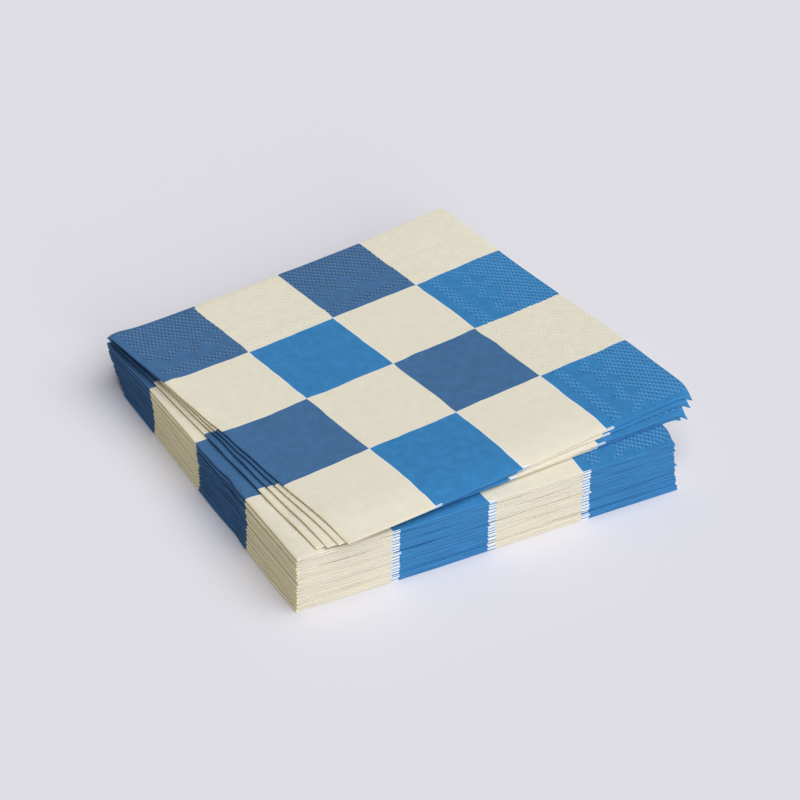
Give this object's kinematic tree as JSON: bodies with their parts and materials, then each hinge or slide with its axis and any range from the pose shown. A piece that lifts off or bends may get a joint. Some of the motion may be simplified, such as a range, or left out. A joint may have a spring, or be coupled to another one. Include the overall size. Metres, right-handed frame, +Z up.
{
  "type": "stack of paper napkins",
  "caption": "Stack of square folded tissue napkins with a printed blue and cream chequer, the topmost ones twisted into a fan.",
  "frame": {"origin": "middle of the lowest napkin's lower face, on the surface that the stack lies on", "axes": "+Z up; -Y is the front, where each napkin shows its two noses of the first fold; -X is the side that the second fold closes; the cut edges lie at +Y and +X"},
  "size_m": [0.1862, 0.186, 0.0303],
  "materials": {
    "printed_tissue": "matt embossed tissue, cream, printed with dark blue and light blue checks"
  },
  "bodies": {
    "root": {"napkin_01": "printed_tissue", "napkin_02": "printed_tissue", "napkin_03": "printed_tissue", "napkin_04": "printed_tissue", "napkin_05": "printed_tissue", "napkin_06": "printed_tissue", "napkin_07": "printed_tissue", "napkin_08": "printed_tissue", "napkin_09": "printed_tissue", "napkin_10": "printed_tissue", "napkin_11": "printed_tissue", "napkin_12": "printed_tissue", "napkin_13": "printed_tissue", "napkin_14": "printed_tissue", "napkin_15": "printed_tissue", "napkin_16": "printed_tissue", "napkin_17": "printed_tissue", "napkin_18": "printed_tissue", "napkin_19": "printed_tissue", "napkin_20": "printed_tissue"}
  },
  "joints": []
}
